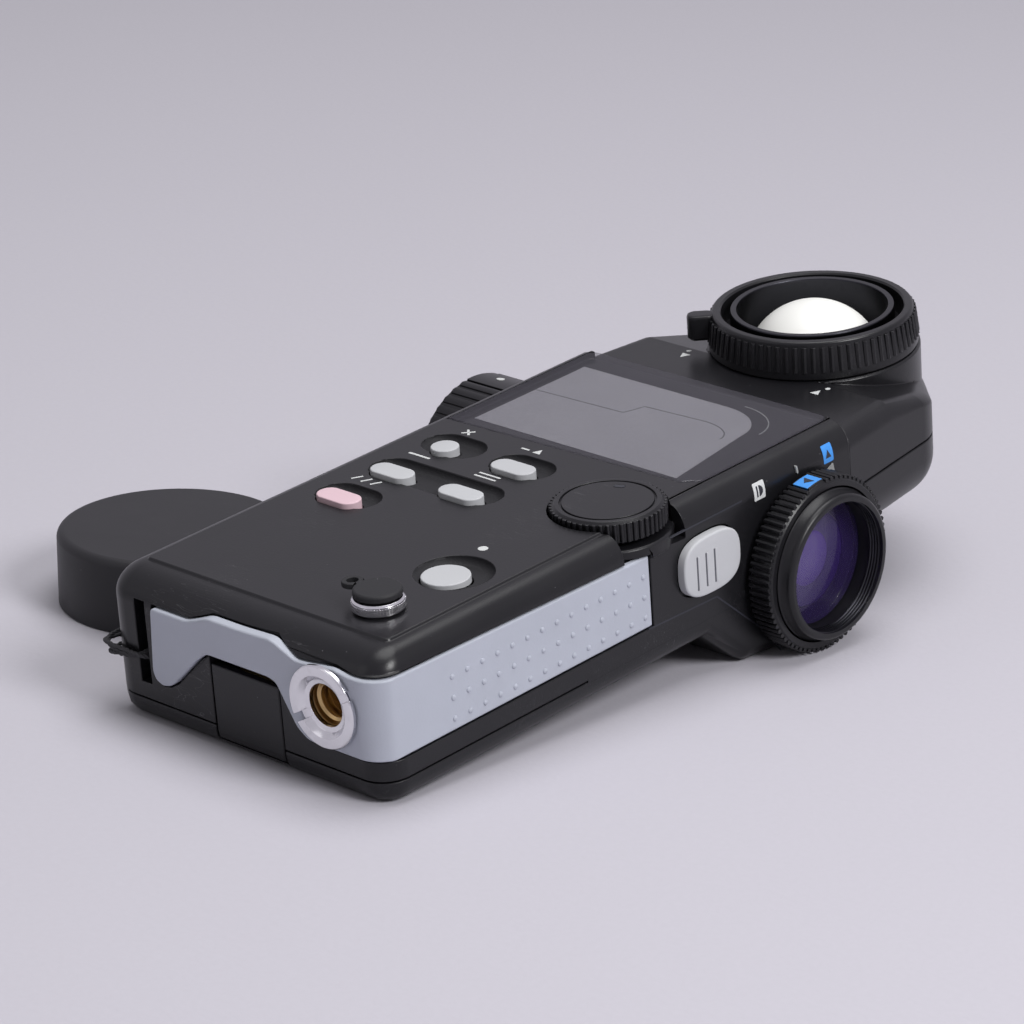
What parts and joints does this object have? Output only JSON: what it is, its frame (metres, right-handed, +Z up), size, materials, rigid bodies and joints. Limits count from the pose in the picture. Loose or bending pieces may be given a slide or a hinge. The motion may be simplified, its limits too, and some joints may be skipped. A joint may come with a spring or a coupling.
{
  "type": "light meter",
  "caption": "Hand-held light meter with a turning dome head, a spot viewfinder with ribbed rings, a display, press buttons and a lens cap laid beside it.",
  "frame": {"origin": "middle of the footprint of the meter and its cap, on the table", "axes": "+Y from the tripod end of the meter to its head, +X towards the objective, +Z up from the table; the meter leans on its end edge and on the hump of the viewfinder, so its face is tilted about X"},
  "size_m": [0.1216, 0.1632, 0.046],
  "materials": {
    "black_plastic": "semi-gloss black moulding",
    "inner_black": "matt black",
    "grip_grey": "soft matt grey",
    "key_grey": "satin grey",
    "key_pink": "satin dusty pink",
    "soft_rubber": "matt",
    "chrome": "bright",
    "brass": "turned",
    "spring_steel": "satin",
    "smoked_window": "smoked, glossy",
    "display_grey": "grey-green display",
    "coated_glass": "coated",
    "opal_dome": "white translucent",
    "board_green": "circuit board",
    "cell_wrap": "printed sleeve",
    "braided_cord": "braided"
  },
  "bodies": {
    "body": {"front_shell": "black_plastic", "rear_shell": "black_plastic", "back_screw_1": "spring_steel", "back_screw_2": "spring_steel", "back_screw_3": "spring_steel", "back_screw_4": "spring_steel", "display_window": "smoked_window", "display_panel": "display_grey", "display_frame": "inner_black", "main_board": "board_green", "button_mat": "soft_rubber", "jog_encoder": "inner_black", "sync_terminal": "chrome", "side_grip": "grip_grey", "tripod_ring": "chrome", "tripod_insert": "brass", "battery_cell": "cell_wrap", "battery_spring": "spring_steel", "strap_loop": "braided_cord", "finder_tube": "inner_black", "prism_holder": "inner_black", "prism": "coated_glass", "spot_sensor": "inner_black", "objective_barrel": "black_plastic", "objective_glass": "coated_glass", "front_lens": "coated_glass", "eyepiece_barrel": "inner_black", "eyepiece_lens": "coated_glass"},
    "head": {"head_shell": "black_plastic", "head_cover": "black_plastic", "swivel_shaft": "spring_steel", "swivel_nut": "spring_steel", "light_well": "black_plastic", "sensor_board": "board_green", "light_sensor": "inner_black"},
    "dome_ring": {"lumisphere_ring": "black_plastic"},
    "dome": {"dome_carrier": "inner_black", "lumisphere_dome": "opal_dome"},
    "selector": {"selector_ring": "black_plastic"},
    "zoom": {"zoom_ring": "black_plastic"},
    "zoom_lens": {"zoom_lens": "coated_glass"},
    "sight": {"diopter_ring": "black_plastic", "eyecup": "soft_rubber"},
    "jog": {"jog_wheel": "black_plastic"},
    "mode_button": {"mode_button": "key_pink"},
    "iso_button": {"iso_button": "key_grey"},
    "iso_two_button": {"iso_two_button": "key_grey"},
    "clear_button": {"clear_button": "key_grey"},
    "average_button": {"average_button": "key_grey"},
    "power_button": {"power_button": "key_grey"},
    "measure_button": {"measure_button": "key_grey"},
    "memory_button": {"memory_button": "key_grey"},
    "battery_door": {"battery_door": "black_plastic", "door_contact": "brass"},
    "sync_cap": {"sync_cap": "soft_rubber"},
    "lens_cap": {"lens_cap": "soft_rubber"}
  },
  "joints": [
    {"name": "head_swivel", "type": "hinge", "parent": "body", "child": "head", "pos_m": [0.0214, 0.03368, 0.02361], "axis": [0, 0.9953, 0.0969], "range_deg": [-90, 180]},
    {"name": "dome_ring_turn", "type": "hinge", "parent": "head", "child": "dome_ring", "pos_m": [0.0214, 0.06095, 0.03762], "axis": [0, -0.0969, 0.9953], "range_deg": [0, 90]},
    {"name": "dome_lift", "type": "slide", "parent": "head", "child": "dome", "axis": [0, -0.0969, 0.9953], "range_m": [0, 0.0115]},
    {"name": "selector_turn", "type": "hinge", "parent": "body", "child": "selector", "pos_m": [0.0536, 0.02111, 0.0155], "axis": [1, 0, 0], "range_deg": [0, 57]},
    {"name": "zoom_turn", "type": "hinge", "parent": "body", "child": "zoom", "pos_m": [-0.0108, 0.02111, 0.0155], "axis": [1, 0, 0], "range_deg": [0, 100]},
    {"name": "zoom_lens_slide", "type": "slide", "parent": "body", "child": "zoom_lens", "axis": [1, 0, 0], "range_m": [0, 0.014]},
    {"name": "sight_adjust", "type": "hinge", "parent": "body", "child": "sight", "pos_m": [-0.0192, 0.02111, 0.0155], "axis": [1, 0, 0], "range_deg": [-40, 40]},
    {"name": "jog_turn", "type": "hinge", "parent": "body", "child": "jog", "pos_m": [0.0428, -0.0164, 0.02717], "axis": [0, -0.0969, 0.9953], "continuous": true},
    {"name": "mode_press", "type": "slide", "parent": "body", "child": "mode_button", "axis": [0, 0.0969, -0.9953], "range_m": [0, 0.0005], "stiffness_N_per_m": 400},
    {"name": "iso_press", "type": "slide", "parent": "body", "child": "iso_button", "axis": [0, 0.0969, -0.9953], "range_m": [0, 0.0005], "stiffness_N_per_m": 400},
    {"name": "iso_two_press", "type": "slide", "parent": "body", "child": "iso_two_button", "axis": [0, 0.0969, -0.9953], "range_m": [0, 0.0005], "stiffness_N_per_m": 400},
    {"name": "clear_press", "type": "slide", "parent": "body", "child": "clear_button", "axis": [0, 0.0969, -0.9953], "range_m": [0, 0.0005], "stiffness_N_per_m": 400},
    {"name": "average_press", "type": "slide", "parent": "body", "child": "average_button", "axis": [0, 0.0969, -0.9953], "range_m": [0, 0.0005], "stiffness_N_per_m": 400},
    {"name": "power_press", "type": "slide", "parent": "body", "child": "power_button", "axis": [0, 0.0969, -0.9953], "range_m": [0, 0.0005], "stiffness_N_per_m": 400},
    {"name": "measure_press", "type": "slide", "parent": "body", "child": "measure_button", "axis": [-1, 0, 0], "range_m": [0, 0.0006], "stiffness_N_per_m": 400},
    {"name": "memory_press", "type": "slide", "parent": "body", "child": "memory_button", "axis": [1, 0, 0], "range_m": [0, 0.0006], "stiffness_N_per_m": 400},
    {"name": "battery_door_hinge", "type": "hinge", "parent": "body", "child": "battery_door", "pos_m": [0.0214, -0.07723, 0.00241], "axis": [1, 0, 0], "range_deg": [0, 85]},
    {"name": "sync_cap_lift", "type": "slide", "parent": "body", "child": "sync_cap", "axis": [0, -0.0969, 0.9953], "range_m": [0, 0.008]},
    {"name": "lens_cap_lift", "type": "slide", "parent": "body", "child": "lens_cap", "axis": [0, 0, 1], "range_m": [0, 0.08]}
  ],
  "couplings": [
    {"joint": "zoom_lens_slide", "follows": "zoom_turn", "m_per_rad": 0.00802},
    {"joint": "dome_lift", "follows": "dome_ring_turn", "m_per_rad": 0.00732}
  ]
}
